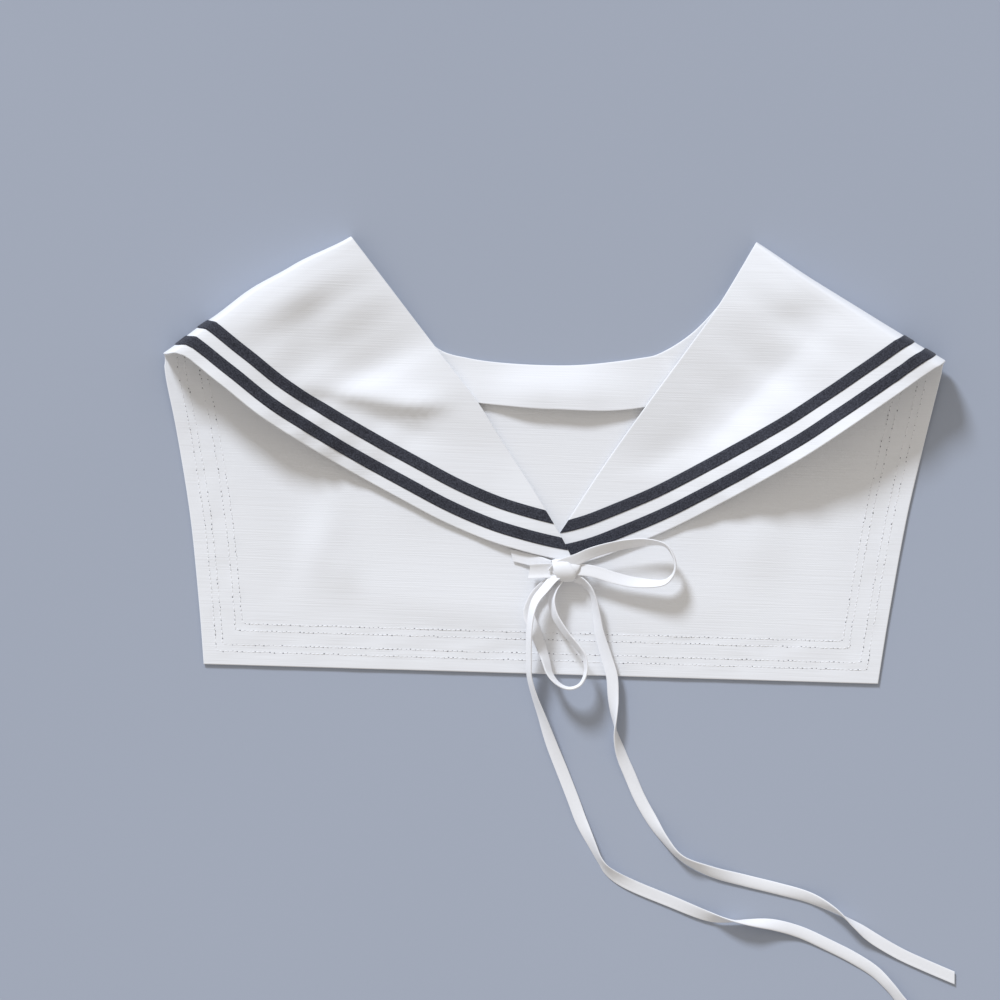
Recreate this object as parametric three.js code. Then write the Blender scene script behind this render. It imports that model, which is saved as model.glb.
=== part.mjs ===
// Cotton sailor collar lying flat. Both fronts are folded over the back panel at the shoulders,
// two ribbons run round the outer edge, and the ties are knotted in a bow at the front tips.
// Millimetres, Z up. It is drawn from the middle of the hem, with the neck towards +Y, and the
// finished group is centred on its own box, standing on z = 0.
import * as THREE from "three";

// Cloth and trims
const clothWall = 1.2; // two layers of cotton sewn together
const trimWall = 1.0; // ribbons and neck facing
const seat = 0.3; // gap between pieces that lie on each other

// Outline of the collar as it lies
const hemWidth = 338;
const cornerSpan = 390; // between the outer corners of the shoulder folds
const cornerHeight = 158; // hem line to the outer corners
const neckSpan = 202; // between the two neck points
const neckHeight = 217; // hem line to the neck points
const neckDepth = 62.5; // neck points down to the back neck edge
const tipHeight = 56; // hem line to the tips of the fronts
const tipWidth = 3; // blunt end of each front

// Shoulder folds
const rollHeight = 18; // rise of a front over the back panel at the outer corner
const rollNose = 6; // how far in from the fold line the roll turns over, at the outer corner
const neckNose = 1.5; // the same at the neck point
const rollSag = 1.5; // 1 for a roll that is widest halfway up, more for one widest lower down
const cornerLift = 2.5; // rise of the back panel's own corner

// Ribbons and facing
const ribbonWidth = 5.8;
const ribbonMargin = 5.4; // outer edge to the first ribbon
const ribbonGap = 5.7;
const facingWidth = 22.5;
const facingDrape = 2.2; // rise of the facing's free edge in the middle

// Ties
const tieWidth = 6;
const tieWall = 1.0;
const knotSize = new THREE.Vector3(13.2, 9, 7.6);
const knotCentre = new THREE.Vector3(10.4, 52, 7.4);

// Where each side lies, as shares of the sizes above: x of the spans, y of the heights
const sides = {
  left: { hem: [-0.498, -0.006], corner: [-0.496, 0.97], neck: [-0.504, 0.991], tip: [0.072, 1.03] },
  right: { hem: [0.5, 0.006], corner: [0.504, 1.032], neck: [0.496, 1.01], tip: [-0.012, 0.98] },
};

// Bow of each edge out of its straight line: along and out are shares of the line's length
const bows = {
  side: {
    left: [
      { along: 0.04, out: 0.004 },
      { along: 0.1, out: 0.003 },
      { along: 0.25, out: -0.008 },
      { along: 0.52, out: -0.017 },
      { along: 0.8, out: -0.01 },
    ],
    right: [{ along: 0.25, out: -0.01 }, { along: 0.5, out: -0.016 }, { along: 0.8, out: -0.009 }],
  },
  fold: {
    left: [{ along: 0.3, out: 0.028 }, { along: 0.5, out: 0.038 }, { along: 0.75, out: 0.018 }],
    right: [{ along: 0.3, out: -0.008 }, { along: 0.6, out: -0.006 }, { along: 0.85, out: -0.004 }],
  },
  outer: {
    left: [
      { along: 0.02, out: 0.012 },
      { along: 0.045, out: 0.0165 },
      { along: 0.08, out: 0.01 },
      { along: 0.12, out: 0.001 },
      { along: 0.16, out: -0.007 },
      { along: 0.25, out: -0.026 },
      { along: 0.36, out: -0.037 },
      { along: 0.48, out: -0.0445 },
      { along: 0.6, out: -0.0485 },
      { along: 0.7, out: -0.0505 },
      { along: 0.8, out: -0.0445 },
      { along: 0.88, out: -0.0315 },
      { along: 0.95, out: -0.0155 },
    ],
    right: [
      { along: 0.05, out: -0.0055 },
      { along: 0.12, out: -0.016 },
      { along: 0.18, out: -0.0245 },
      { along: 0.25, out: -0.034 },
      { along: 0.36, out: -0.047 },
      { along: 0.48, out: -0.054 },
      { along: 0.6, out: -0.0575 },
      { along: 0.7, out: -0.0575 },
      { along: 0.8, out: -0.051 },
      { along: 0.88, out: -0.043 },
      { along: 0.95, out: -0.026 },
    ],
  },
  inner: {
    left: [
      { along: 0.2, out: 0.01 },
      { along: 0.37, out: 0.0185 },
      { along: 0.53, out: 0.027 },
      { along: 0.64, out: 0.0225 },
      { along: 0.8, out: 0.0175 },
      { along: 0.93, out: 0.0095 },
    ],
    right: [
      { along: 0.18, out: -0.01 },
      { along: 0.32, out: -0.007 },
      { along: 0.51, out: 0 },
      { along: 0.71, out: 0.004 },
      { along: 0.91, out: 0.001 },
    ],
  },
};

// Back neck edge: across is a share of the neck span, dip a share of the neck depth
const neckRows = [
  { across: 0, dip: 0 },
  { across: 0.05, dip: 0.22 },
  { across: 0.1, dip: 0.43 },
  { across: 0.16, dip: 0.68 },
  { across: 0.225, dip: 0.885 },
  { across: 0.3, dip: 0.955 },
  { across: 0.39, dip: 0.99 },
  { across: 0.506, dip: 1.003 },
  { across: 0.6, dip: 0.99 },
  { across: 0.72, dip: 0.937 },
  { across: 0.775, dip: 0.89 },
  { across: 0.85, dip: 0.728 },
  { across: 0.917, dip: 0.485 },
  { across: 0.964, dip: 0.225 },
  { across: 1, dip: 0 },
];

// Facing: share of the way along the neck edge, width as a share of the facing width
const facingRows = [
  { along: 0, width: 0.95 },
  { along: 0.4, width: 0.95 },
  { along: 0.5, width: 0.98 },
  { along: 0.64, width: 1.1 },
  { along: 1, width: 1.05 },
];

// Rise of each front over the back panel as shares of the roll height: at is the share of the
// way from the shoulder fold to the tip, then the outer edge, the middle and the neck edge
const frontRows = {
  left: [
    { at: 0, outer: 1, middle: 0.8, neck: 0.2 },
    { at: 0.06, outer: 1.03, middle: 0.84, neck: 0.2 },
    { at: 0.14, outer: 1.14, middle: 0.66, neck: 0.16 },
    { at: 0.24, outer: 1.12, middle: 0.4, neck: 0.12 },
    { at: 0.32, outer: 0.9, middle: 0.26, neck: 0.1 },
    { at: 0.38, outer: 0.62, middle: 0.21, neck: 0.1 },
    { at: 0.45, outer: 0.3, middle: 0.18, neck: 0.1 },
    { at: 0.52, outer: 0.16, middle: 0.1, neck: 0.08 },
    { at: 0.66, outer: 0.1, middle: 0.06, neck: 0.05 },
    { at: 0.8, outer: 0.06, middle: 0.05, neck: 0.04 },
    { at: 1, outer: 0.02, middle: 0.02, neck: 0.02 },
  ],
  right: [
    { at: 0, outer: 0.96, middle: 0.8, neck: 0.26 },
    { at: 0.06, outer: 1, middle: 0.84, neck: 0.26 },
    { at: 0.14, outer: 1.12, middle: 0.72, neck: 0.22 },
    { at: 0.27, outer: 1.18, middle: 0.42, neck: 0.16 },
    { at: 0.38, outer: 0.98, middle: 0.27, neck: 0.12 },
    { at: 0.46, outer: 0.72, middle: 0.2, neck: 0.1 },
    { at: 0.53, outer: 0.45, middle: 0.14, neck: 0.09 },
    { at: 0.6, outer: 0.22, middle: 0.09, neck: 0.07 },
    { at: 0.68, outer: 0.08, middle: 0.06, neck: 0.05 },
    { at: 0.8, outer: 0.04, middle: 0.04, neck: 0.03 },
    { at: 1, outer: 0.02, middle: 0.02, neck: 0.02 },
  ],
};

// Soft folds in the back panel: middle as shares of half the hem width and the corner height,
// turned degrees from the Y axis, long, wide and high as shares of the corner height
const foldRows = [
  { x: -0.66, y: 0.38, turn: 8, long: 0.34, wide: 0.06, high: 0.014 },
  { x: -0.6, y: 0.3, turn: -12, long: 0.2, wide: 0.05, high: 0.009 },
  { x: 0.62, y: 0.42, turn: -14, long: 0.3, wide: 0.08, high: 0.008 },
];

// Free lengths of the tie, laid by hand: x, y, z of the middle line
const longTailRoute = [
  [5.6, 48, 9.4], [1, 42.8, 11.6], [-3.4, 36.8, 13.6], [-5.4, 29.8, 14.8], [-6.1, 20.2, 14],
  [-5.8, 6.8, 11], [-5.2, -1.5, 8.6], [-2.6, -10.3, 6], [1.6, -20.9, 3.2], [7.1, -35.2, 1],
  [13, -48.8, 0.7], [18.8, -62.4, 0.7], [22.9, -72.3, 0.7], [28.7, -83.6, 0.7], [33.6, -92.5, 0.7],
  [39.2, -98.5, 0.7], [50.1, -104.2, 0.7], [70.1, -111.6, 0.7], [86.6, -117.5, 0.7],
  [97.5, -119.6, 0.7], [108.4, -120.2, 0.7], [121.4, -121.2, 0.7], [134.6, -124.5, 0.7],
  [147.8, -130, 0.7], [161, -136.1, 0.7], [172.1, -142.7, 0.7], [180, -150.1, 0.7],
  [185.6, -156.6, 0.7], [195.9, -168.8, 0.7],
];
const shortTailRoute = [
  [16.2, 48.6, 6.2], [20.2, 46.6, 6.8], [23.6, 43.2, 7.4], [25.8, 38, 6.6], [27.3, 30.8, 5.6],
  [29, 21.6, 4.9], [32.8, 10, 4.6], [35.9, 0.2, 4.4], [36.9, -9.7, 3.2], [38, -21.1, 1.4],
  [39.1, -29.5, 0.7], [42.5, -40, 0.7], [46.7, -49.2, 0.7], [51.6, -59.7, 0.7], [57.3, -69.4, 0.7],
  [64.6, -80, 0.7], [74.1, -89.7, 0.7], [89.1, -95.8, 0.7], [105.4, -99.5, 0.7], [123, -103.2, 0.7],
  [138.3, -107, 0.7], [151.5, -113.1, 0.7], [161.5, -119.8, 0.7], [171.5, -126.5, 0.7],
  [184.8, -133.6, 0.7], [198, -139.1, 0.7], [212.3, -144.6, 0.7],
];
// The loops of the bow: x, y, z of the middle line and the strip's lean in degrees, 0 lying flat
const sideLoopRoute = [
  [15.4, 57.2, 8.6, 20], [24.1, 62, 9, 25], [35.6, 65.4, 9.6, 35], [47.2, 67.6, 10, 50],
  [55.5, 67.8, 10.2, 68], [60.8, 66.2, 10.3, 80], [64.2, 61.5, 10.4, 86], [65.6, 56, 10.4, 86],
  [64, 51, 10.2, 80], [58.7, 47.4, 9.8, 60], [45.6, 47.4, 8.6, 30], [34.3, 49.6, 8.6, 14],
  [24.8, 52.2, 8.6, 10], [17.6, 52.9, 8.8, 10],
];
const hangingLoopRoute = [
  [8.6, 46.8, 6.4, 60], [5.4, 41.6, 8, 60], [4.6, 36.2, 9, 58], [6.4, 29.7, 9.8, 58],
  [9.4, 24.8, 10.2, 58], [13.4, 19.5, 10.6, 60], [17.9, 14.6, 11, 64], [21.8, 9.3, 11.4, 70],
  [22.8, 2.3, 11.6, 76], [20.4, -4.1, 11.6, 80], [15.1, -6.6, 11.4, 80], [9.4, -4.8, 11, 75],
  [4.6, 0.4, 10, 60], [2, 8, 8.6, 44], [-2.6, 19.6, 6.6, 22], [-7.6, 29, 6, 15], [-7.6, 35, 5.4, 15],
  [-4.6, 40.5, 5.2, 15], [0.4, 44.4, 5.4, 15],
];
const anchorRoute = [
  [-16.8, 57.4, 2.3, 0], [-12, 56.9, 2.3, 0], [-8, 56.9, 2.3, 0], [-4.6, 56.9, 2.3, 0],
];
const stubRoute = [
  [-7.6, 50.6, 6.6, 0], [-4, 51.2, 6.8, 0], [-0.5, 51.6, 7, 0], [3.4, 51.9, 7.2, 0],
];

// How finely each piece is cut
const frontRibs = 18;
const rollRibs = 7;
const sideRibs = 8;
const hemRibs = 15;
const bandCells = 4; // from the outer edge to the far edge of the ribbons
const widthCells = 13;

const smooth = (x) => THREE.MathUtils.smoothstep(x, 0, 1);
const lerp = THREE.MathUtils.lerp;
const at2 = (x, y) => new THREE.Vector2(x, y);

// Value of one column of a table at a place between its rows, without a kink
function column(rows, key, name, x) {
  let i = 0;
  while (i < rows.length - 2 && rows[i + 1][key] < x) i++;
  const a = rows[i];
  const b = rows[i + 1];
  return lerp(a[name], b[name], smooth(THREE.MathUtils.clamp((x - a[key]) / (b[key] - a[key]), 0, 1)));
}

// Smooth line from one point to another, bowed out to its left by the rows
function bowed(from, to, rows, leftward = 1) {
  const line = to.clone().sub(from);
  const out = at2(-line.y, line.x).multiplyScalar(leftward);
  const between = rows.map((row) => from.clone().addScaledVector(line, row.along).addScaledVector(out, row.out));
  return new THREE.SplineCurve([from, ...between, to]);
}

function outlineOf(side) {
  const place = sides[side];
  const hem = at2(place.hem[0] * hemWidth, place.hem[1] * cornerHeight);
  const corner = at2(place.corner[0] * cornerSpan, place.corner[1] * cornerHeight);
  const neck = at2(place.neck[0] * neckSpan, place.neck[1] * neckHeight);
  const tip = at2(place.tip[0] * neckSpan, place.tip[1] * tipHeight);
  const turn = side === "left" ? 1 : -1;
  const blunt = tip.clone().sub(neck).normalize().multiplyScalar(tipWidth / 2);
  const outerTip = tip.clone().add(blunt);
  const innerTip = tip.clone().sub(blunt);
  return {
    hem,
    corner,
    neck,
    tip,
    foldLength: corner.distanceTo(neck),
    foldOut: at2(-(neck.y - corner.y), neck.x - corner.x).normalize().multiplyScalar(turn),
    sideEdge: bowed(corner, hem, bows.side[side], -turn),
    outerEdge: bowed(corner, outerTip, bows.outer[side], turn),
    neckEdge: bowed(neck, innerTip, bows.inner[side], turn),
  };
}

const outlines = { left: outlineOf("left"), right: outlineOf("right") };
const neckCurve = new THREE.SplineCurve(
  neckRows.map((row) =>
    outlines.left.neck.clone().lerp(outlines.right.neck, row.across).sub(at2(0, row.dip * neckDepth)),
  ),
);
const hemCurve = new THREE.LineCurve(outlines.left.hem, outlines.right.hem);

// Shortest way from a point to a run of points
function distanceTo(point, run) {
  let least = Infinity;
  for (let i = 0; i < run.length - 1; i++) {
    const span = run[i + 1].clone().sub(run[i]);
    const t = THREE.MathUtils.clamp(point.clone().sub(run[i]).dot(span) / span.lengthSq(), 0, 1);
    least = Math.min(least, point.distanceTo(run[i].clone().addScaledVector(span, t)));
  }
  return least;
}

const backRun = [
  ...outlines.left.sideEdge.getSpacedPoints(10),
  ...outlines.right.sideEdge.getSpacedPoints(10).reverse(),
];
const outerRuns = {
  left: outlines.left.outerEdge.getSpacedPoints(30),
  right: outlines.right.outerEdge.getSpacedPoints(30),
};
const neckRun = neckCurve.getSpacedPoints(40);

// Middle of the back panel's cloth: it steps over the ribbons beneath its edges
const ribbonReach = ribbonMargin + 2 * ribbonWidth + ribbonGap;
const stepWidth = ribbonReach * 1.1;
function backHeight(point) {
  const inside = distanceTo(point, backRun) - 1.25 * ribbonReach;
  let z = clothWall / 2 + (trimWall + seat) * (1 - smooth(inside / stepWidth));
  for (const fold of foldRows) {
    const middle = at2((fold.x * hemWidth) / 2, fold.y * cornerHeight);
    const off = point.clone().sub(middle).rotateAround(at2(0, 0), THREE.MathUtils.degToRad(fold.turn));
    const along = (2 * off.y) / (fold.long * cornerHeight);
    const across = off.x / (fold.wide * cornerHeight);
    z += fold.high * cornerHeight * Math.exp(-across * across) * Math.exp(-along * along * 2);
  }
  for (const outline of [outlines.left, outlines.right]) {
    const away = point.distanceTo(outline.corner) / (3 * rollHeight);
    z += cornerLift * (1 - smooth(away));
  }
  return z;
}

// Middle of a front's cloth, clear of the facing, of the other front and of the ribbon on it
const crossing = clothWall + trimWall + 2 * seat;
function frontHeight(side, point, at, b) {
  const nearNeck = 1 - smooth((distanceTo(point, neckRun) - 1.1 * facingWidth) / facingWidth);
  let z = backHeight(point) + clothWall + seat + (trimWall + seat) * nearNeck;
  if (side === "left") {
    const { tip, neck } = outlines.right;
    const line = tip.clone().sub(neck).normalize();
    const past = point.clone().sub(tip).dot(at2(-line.y, line.x));
    z += crossing * smooth((past + 2 * facingWidth) / (1.7 * facingWidth));
  }
  const rows = frontRows[side];
  const [outer, middle, inner] = ["outer", "middle", "neck"].map((name) => column(rows, "at", name, at));
  const bend = outer * (1 - b) * (1 - 2 * b) + middle * 4 * b * (1 - b) + inner * b * (2 * b - 1);
  return z + rollHeight * bend;
}

// Ribs run from the outer edge (b = 0) to the neck edge (b = 1). The share band of b covers
// the strip along the outer edge that holds the ribbons.
const band = bandCells / widthCells;
const bent = (b, turn) => (b < band ? (b / band) * turn : lerp(turn, 1, (b - band) / (1 - band)));

function foldBow(side, t, nearFold) {
  const rows = [{ along: 0, out: 0 }, ...bows.fold[side], { along: 1, out: 0 }];
  const { foldOut, foldLength } = outlines[side];
  return foldOut.clone().multiplyScalar(column(rows, "along", "out", 1 - t) * foldLength * nearFold ** 4);
}

// Share of a rib at which it is a distance in from the outer edge
function shareAt(line, run, inward) {
  let low = 0;
  let high = 1;
  for (let k = 0; k < 16; k++) {
    const mid = (low + high) / 2;
    if (distanceTo(line(mid), run) < inward) low = mid;
    else high = mid;
  }
  return high;
}

function frontRib(side, outerShare, neckShare) {
  const outline = outlines[side];
  const from = outline.outerEdge.getPointAt(outerShare);
  const to = outline.neckEdge.getPointAt(neckShare);
  const turn = Math.min(shareAt((t) => from.clone().lerp(to, t), outerRuns[side], ribbonReach), 0.6);
  const planAt = (t) => from.clone().lerp(to, t).add(foldBow(side, t, 1 - lerp(outerShare, neckShare, t)));
  const plan = (b) => planAt(bent(b, turn));
  const height = (b) => {
    const t = bent(b, turn);
    return frontHeight(side, planAt(t), lerp(outerShare, neckShare, t), t);
  };
  return { run: outerRuns[side], plan, height };
}

// A rib of the back panel crosses the ribbons square to the edge and then heads for the neck
function backRib(side, from, knee, neckShare, nearFold) {
  const to = neckCurve.getPointAt(neckShare);
  const turn = from.distanceTo(knee) / (from.distanceTo(knee) + knee.distanceTo(to));
  const plan = (b) => {
    const t = bent(b, turn);
    const straight = t < turn ? from.clone().lerp(knee, t / turn) : knee.clone().lerp(to, (t - turn) / (1 - turn));
    return straight.add(foldBow(side, t, nearFold));
  };
  return { run: backRun, plan, height: (b) => backHeight(plan(b)) };
}

const hemNeckShare = 0.24; // share of the neck edge that faces each side edge
const neckLength = neckCurve.getLength();

// Line of the knees of the back ribs: as far in from the side edge as the ribbons reach
function kneeLine(side) {
  const { corner, hem, neck, foldLength } = outlines[side];
  const down = hem.clone().sub(corner).normalize();
  const along = outlines[side === "left" ? "right" : "left"].hem.clone().sub(hem).normalize();
  const up = neck.clone().sub(corner).divideScalar(foldLength);
  const first = corner.clone().addScaledVector(up, ribbonReach / Math.abs(up.cross(down)));
  const half = Math.acos(-along.dot(down)) / 2;
  const square = along.clone().sub(down).normalize();
  const last = hem.clone().addScaledVector(square, ribbonReach / Math.sin(half));
  return bowed(first, last, bows.side[side], side === "left" ? -1 : 1);
}
const kneeLines = { left: kneeLine("left"), right: kneeLine("right") };

const noses = (side) => ({
  outer: rollNose / outlines[side].outerEdge.getLength(),
  inner: neckNose / outlines[side].neckEdge.getLength(),
  edge: rollNose / outlines[side].sideEdge.getLength(),
  neck: neckNose / neckLength,
});

// Rib of a front, way 0 at the tip and 1 where the roll begins
function frontRibAt(side, way) {
  const nose = noses(side);
  return frontRib(side, lerp(1, nose.outer, way), lerp(1, nose.inner, way));
}

function sideRibAt(side, edge, neckShare) {
  const from = outlines[side].sideEdge.getPointAt(edge);
  const knee = kneeLines[side].getPointAt(edge);
  return backRib(side, from, knee, side === "left" ? neckShare : 1 - neckShare, 1 - edge);
}

// All ribs of one side from the tip over the fold to the hem corner
function ribsOf(side) {
  const nose = noses(side);
  const list = [];
  for (let i = 0; i <= frontRibs; i++) list.push(frontRibAt(side, (i / frontRibs) ** 1.2));
  const upper = list[frontRibs];
  const lower = sideRibAt(side, nose.edge, nose.neck);
  for (let i = 1; i <= rollRibs; i++) {
    const turn = (Math.PI * i) / (rollRibs + 1);
    const inward = 1 - Math.sin(turn);
    const roll = i / (rollRibs + 1);
    const over = frontRib(side, nose.outer * inward, nose.inner * inward);
    const under = sideRibAt(side, nose.edge * inward, nose.neck * inward);
    const plan = (b) => over.plan(b).lerp(under.plan(b), roll);
    const rise = ((1 + Math.cos(turn)) / 2) ** rollSag;
    const height = (b) => lerp(lower.height(b), upper.height(b), rise);
    list.push({ plan, height, roll, upper, lower });
  }
  for (let i = 0; i <= sideRibs; i++) {
    const way = (i / sideRibs) ** 1.2;
    list.push(sideRibAt(side, lerp(nose.edge, 1, way), lerp(nose.neck, hemNeckShare, way)));
  }
  return list;
}

const hemRibList = Array.from({ length: hemRibs }, (_, i) => {
  const way = (i + 1) / (hemRibs + 1);
  const knee = kneeLines.left.getPoint(1).lerp(kneeLines.right.getPoint(1), way);
  return backRib("left", hemCurve.getPointAt(way), knee, lerp(hemNeckShare, 1 - hemNeckShare, way), 0);
});
const ribs = [...ribsOf("left"), ...hemRibList, ...ribsOf("right").reverse()];

// Point on the middle of the collar cloth
function onRib(rib, b) {
  const { x, y } = rib.plan(b);
  return new THREE.Vector3(x, y, rib.height(b));
}

// Way out of the cloth's outer face at one rib of a list
function outOfCloth(list, i, b) {
  const step = 0.02;
  const along = onRib(list[Math.min(i + 1, list.length - 1)], b).sub(onRib(list[Math.max(i - 1, 0)], b));
  const across = onRib(list[i], Math.min(b + step, 1)).sub(onRib(list[i], Math.max(b - step, 0)));
  return across.cross(along).normalize();
}

// Place on a rib at a distance in from the outer edge
function placeAt(rib, inward) {
  if (rib.roll) return lerp(placeAt(rib.upper, inward), placeAt(rib.lower, inward), rib.roll);
  return shareAt(rib.plan, rib.run, inward);
}

// Closed solid between two grids of points that lie over each other
function solidBetween(top, bottom) {
  const rows = top.length;
  const columns = top[0].length;
  const points = [...top.flat(), ...bottom.flat()];
  const lower = rows * columns;
  const index = [];
  const quad = (a, b, c, d) => index.push(a, c, b, a, d, c);
  for (let i = 0; i < rows - 1; i++) {
    for (let j = 0; j < columns - 1; j++) {
      const a = i * columns + j;
      quad(a, a + columns, a + columns + 1, a + 1);
      quad(lower + a, lower + a + 1, lower + a + columns + 1, lower + a + columns);
    }
    const first = i * columns;
    const last = first + columns - 1;
    quad(first, lower + first, lower + first + columns, first + columns);
    quad(last, last + columns, lower + last + columns, lower + last);
  }
  for (let j = 0; j < columns - 1; j++) {
    const end = (rows - 1) * columns + j;
    quad(j, j + 1, lower + j + 1, lower + j);
    quad(end, lower + end, lower + end + 1, end + 1);
  }
  return new THREE.BufferGeometry().setFromPoints(points).setIndex(index);
}

// Layer over a list of ribs, between two distances out from the middle of the cloth
function layer(list, placesOn, inner, outer) {
  const grid = (offset) =>
    list.map((rib, i) =>
      placesOn(rib).map((b) => onRib(rib, b).addScaledVector(outOfCloth(list, i, b), offset)),
    );
  return solidBetween(grid(outer), grid(inner));
}

function clothGeometry() {
  const edges = [0, ribbonMargin, ribbonMargin + ribbonWidth, ribbonReach - ribbonWidth, ribbonReach];
  const places = edges.map((edge) => (band * edge) / ribbonReach);
  for (let j = bandCells + 1; j <= widthCells; j++) places.push(j / widthCells);
  return layer(ribs, () => places, -clothWall / 2, clothWall / 2);
}

// Ribs of a ribbon: it begins and ends where it meets the neck edge of each front
function ribbonRibs(inward, most) {
  const wayOf = (side, distance) => {
    let low = 0;
    let high = 1;
    for (let k = 0; k < 14; k++) {
      const mid = (low + high) / 2;
      if (placeAt(frontRibAt(side, mid), distance) > most) low = mid;
      else high = mid;
    }
    return high;
  };
  const ends = (side) => {
    const from = wayOf(side, inward + ribbonWidth / 8);
    const to = wayOf(side, inward + ribbonWidth);
    return [0, 0.3, 0.6, 0.95].map((share) => frontRibAt(side, lerp(from, to, share)));
  };
  const whole = ribs.filter((rib) => placeAt(rib, inward + ribbonWidth) < most);
  return [...ends("left"), ...whole, ...ends("right").reverse()];
}

function ribbonGeometry(inward) {
  const most = 0.99;
  const placesOn = (rib) => {
    const [from, to] = [inward, inward + ribbonWidth].map((distance) => Math.min(placeAt(rib, distance), most));
    return [from, (from + to) / 2, to];
  };
  const inner = clothWall / 2 + seat;
  return layer(ribbonRibs(inward, most), placesOn, inner, inner + trimWall);
}

// Facing on the inner face along the back neck edge; its lower edge stands off a little
function facingGeometry() {
  const along = Array.from({ length: 27 }, (_, i) => lerp(0.12, 0.88, i / 26));
  const across = [0.015, 0.2, 0.4, 0.6, 0.8, 1];
  const grid = (offset) =>
    along.map((share) => {
      const edge = neckCurve.getPointAt(share);
      const tangent = neckCurve.getTangentAt(share);
      const inward = at2(tangent.y, -tangent.x).multiplyScalar(facingWidth * column(facingRows, "along", "width", share));
      return across.map((t) => {
        const point = edge.clone().addScaledVector(inward, t);
        const free = facingDrape * t * t * (1 - smooth((Math.abs(share - 0.5) - 0.08) / 0.13));
        return new THREE.Vector3(point.x, point.y, backHeight(point) + clothWall / 2 + seat + free + offset);
      });
    });
  return solidBetween(grid(trimWall), grid(0));
}

// Flat strip of the tie along a route with a lean at each point
function stripGeometry(route, wall, cells) {
  const curve = new THREE.CatmullRomCurve3(route.map(([x, y, z]) => new THREE.Vector3(x, y, z)));
  const leans = new THREE.CatmullRomCurve3(route.map((row) => new THREE.Vector3(row[3], 0, 0)));
  const up = new THREE.Vector3(0, 0, 1);
  const grid = (offset) => {
    const rows = [];
    for (let k = 0; k <= cells; k++) {
      const t = k / cells;
      const tangent = curve.getTangent(t);
      const level = tangent.clone().cross(up).normalize();
      const wide = level.applyAxisAngle(tangent, THREE.MathUtils.degToRad(leans.getPoint(t).x));
      const face = wide.clone().cross(tangent).normalize();
      rows.push(
        [-0.5, 0, 0.5].map((s) =>
          curve.getPoint(t).addScaledVector(wide, s * tieWidth).addScaledVector(face, offset * wall),
        ),
      );
    }
    return rows;
  };
  return solidBetween(grid(0.5), grid(-0.5));
}

// Flat eight-sided section swept along a tail's route
function tailGeometry(route) {
  const path = new THREE.CatmullRomCurve3(route.map(([x, y, z]) => new THREE.Vector3(x, y, z)));
  const half = tieWall / 2;
  const section = new THREE.Shape([
    at2(-half / 2, -tieWidth / 2),
    at2(half / 2, -tieWidth / 2),
    at2(half, -tieWidth / 2 + half),
    at2(half, tieWidth / 2 - half),
    at2(half / 2, tieWidth / 2),
    at2(-half / 2, tieWidth / 2),
    at2(-half, tieWidth / 2 - half),
    at2(-half, -tieWidth / 2 + half),
  ]);
  const steps = Math.round(path.getLength() / (2 * tieWidth));
  return new THREE.ExtrudeGeometry(section, { steps, extrudePath: path });
}

const cotton = new THREE.MeshStandardMaterial({ color: 0xf3f2f0, roughness: 0.9, metalness: 0 });
const facingCotton = cotton.clone();
const tieCotton = new THREE.MeshStandardMaterial({ color: 0xf6f5f2, roughness: 0.85, metalness: 0 });
const navyRibbon = new THREE.MeshStandardMaterial({ color: 0x1d2029, roughness: 0.75, metalness: 0 });

const collar = new THREE.Group();
function add(name, geometry, material) {
  const mesh = new THREE.Mesh(geometry, material);
  mesh.name = name;
  collar.add(mesh);
  return mesh;
}

add("collar_cloth", clothGeometry(), cotton);
add("outer_stripe", ribbonGeometry(ribbonMargin), navyRibbon);
add("inner_stripe", ribbonGeometry(ribbonMargin + ribbonWidth + ribbonGap), navyRibbon);
add("neck_facing", facingGeometry(), facingCotton);
const box = new THREE.Box3().setFromObject(collar);

add("tie_anchor", stripGeometry(anchorRoute, tieWall, 3), tieCotton);
add("bow_stub", stripGeometry(stubRoute, 2 * tieWall, 3), tieCotton);
add("bow_side_loop", stripGeometry(sideLoopRoute, tieWall, 34), tieCotton);
add("bow_hanging_loop", stripGeometry(hangingLoopRoute, tieWall, 40), tieCotton);
add("tie_tail_long", tailGeometry(longTailRoute), tieCotton);
add("tie_tail_short", tailGeometry(shortTailRoute), tieCotton);
const knot = add("bow_knot", new THREE.SphereGeometry(0.5, 16, 10), tieCotton);
knot.scale.copy(knotSize);
knot.position.copy(knotCentre);

const middle = box.getCenter(new THREE.Vector3());
collar.position.set(-middle.x, -middle.y, -box.min.z);

export default collar;
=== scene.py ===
import math
import random

import bpy
import numpy as np
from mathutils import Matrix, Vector


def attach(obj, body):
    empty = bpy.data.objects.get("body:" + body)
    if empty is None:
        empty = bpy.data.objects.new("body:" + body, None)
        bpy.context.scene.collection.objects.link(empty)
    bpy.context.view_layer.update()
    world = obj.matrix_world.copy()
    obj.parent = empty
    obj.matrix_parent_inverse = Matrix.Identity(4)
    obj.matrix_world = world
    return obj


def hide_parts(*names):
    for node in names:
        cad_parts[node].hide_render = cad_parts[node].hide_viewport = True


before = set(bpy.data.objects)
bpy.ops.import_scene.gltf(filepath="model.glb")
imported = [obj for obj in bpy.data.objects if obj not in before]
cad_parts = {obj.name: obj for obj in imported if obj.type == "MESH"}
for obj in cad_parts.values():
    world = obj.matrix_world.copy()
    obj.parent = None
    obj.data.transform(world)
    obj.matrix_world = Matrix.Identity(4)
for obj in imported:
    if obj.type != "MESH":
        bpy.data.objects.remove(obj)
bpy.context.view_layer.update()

# Everything is drawn in millimetres from the middle of the hem, with the neck towards +Y,
# and brought into the row's frame in metres when a mesh is made
mm = 0.001
rowShift = np.array([-1.53822, -109.36941, 0.0])


def toRow(points):
    return (np.asarray(points, float) + rowShift) * mm


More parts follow.
